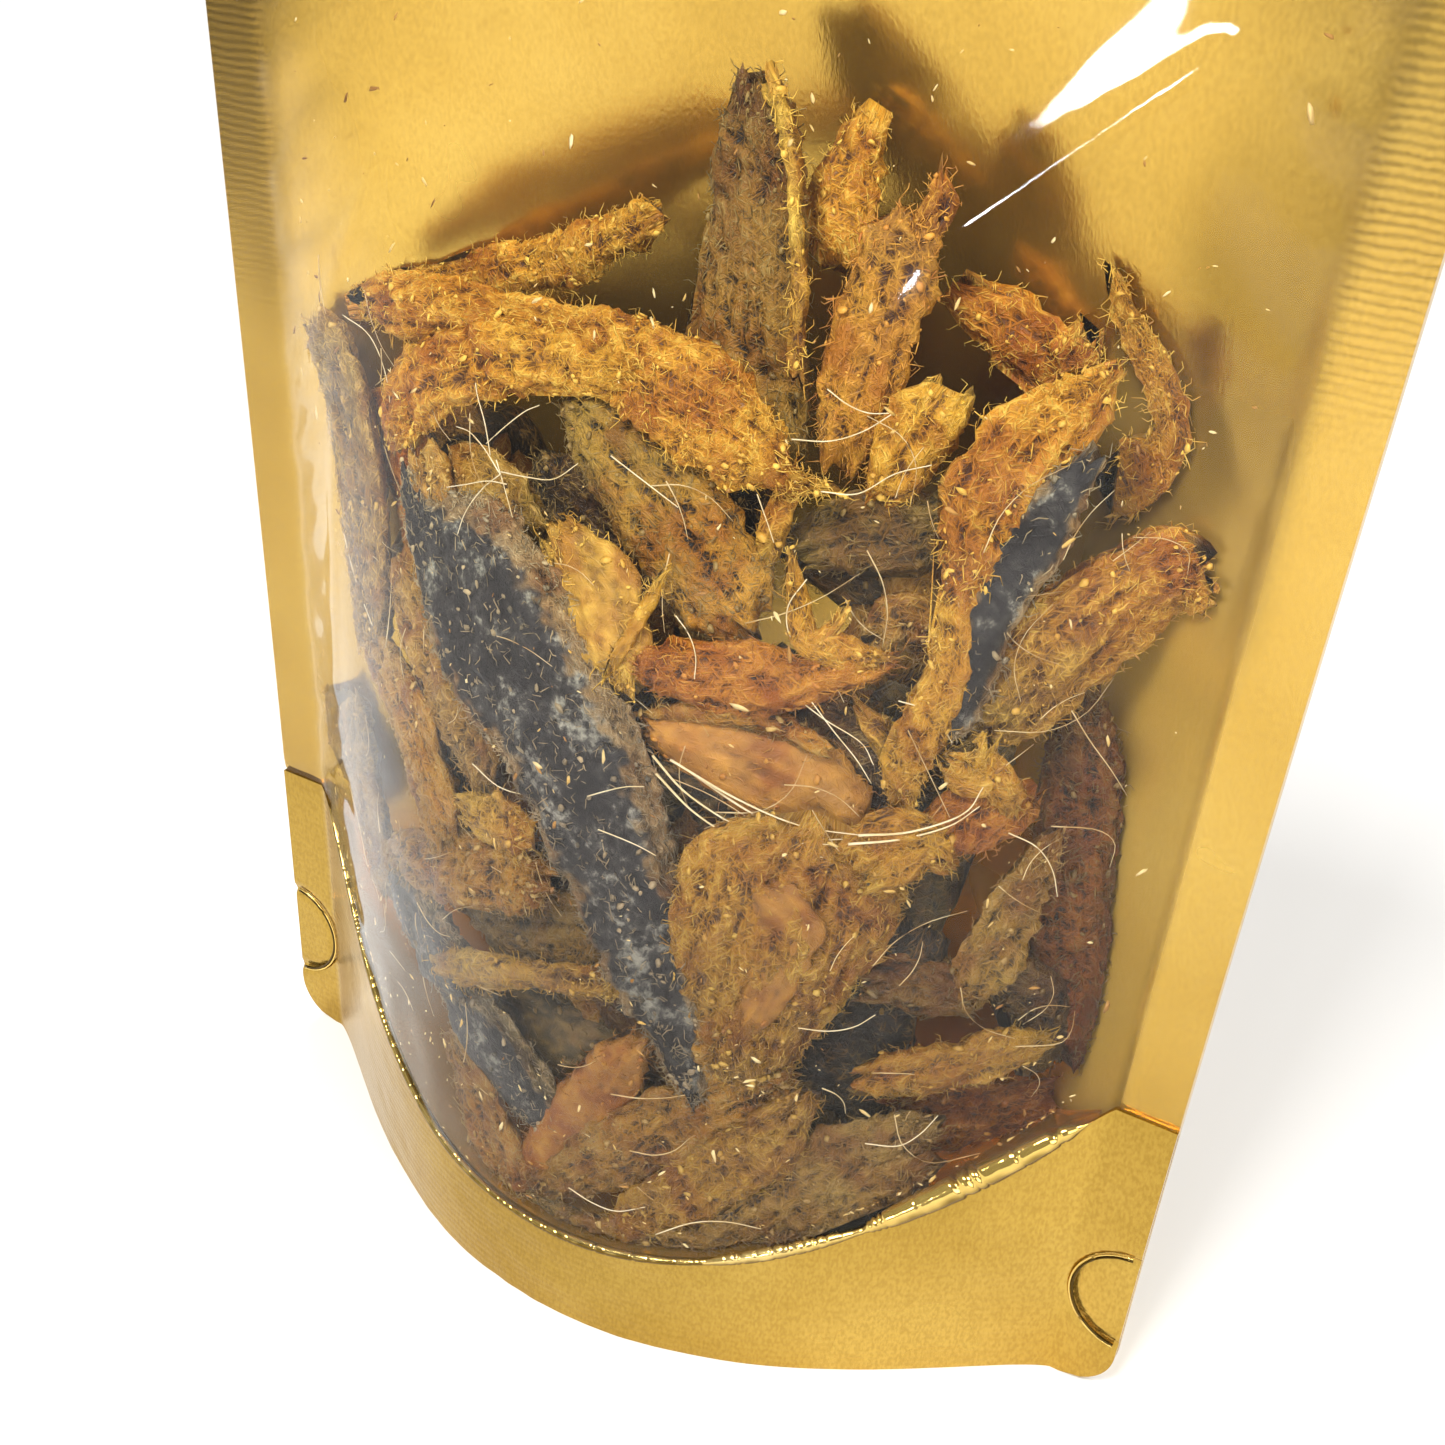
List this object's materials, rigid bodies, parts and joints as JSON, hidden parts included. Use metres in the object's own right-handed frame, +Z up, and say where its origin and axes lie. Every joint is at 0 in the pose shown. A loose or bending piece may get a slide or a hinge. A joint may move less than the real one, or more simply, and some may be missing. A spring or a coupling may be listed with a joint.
{
  "type": "smoked bonga fish in a stand-up pouch",
  "caption": "Dry strips of smoked bonga fish in a sealed stand-up pouch with a clear bulging front, a gold back and a gold foot open on its gusset.",
  "frame": {"origin": "centre of the pouch's foot, on the table", "axes": "+Z up the pouch to its sealed top, -Y out of the clear front, +X to the right seen from the front"},
  "size_m": [0.1394, 0.055, 0.2],
  "materials": {
    "gold_laminate": "satin metallised gold film",
    "gold_laminate_foot": "satin metallised gold film, finely crimped",
    "gold_laminate_gusset": "satin metallised gold film",
    "clear_film_over_fish": "glossy clear film over dry smoked fish"
  },
  "bodies": {
    "root": {"gold_back": "gold_laminate", "gold_skirt": "gold_laminate_foot", "gusset_floor": "gold_laminate_gusset", "clear_bag": "clear_film_over_fish"}
  },
  "joints": []
}
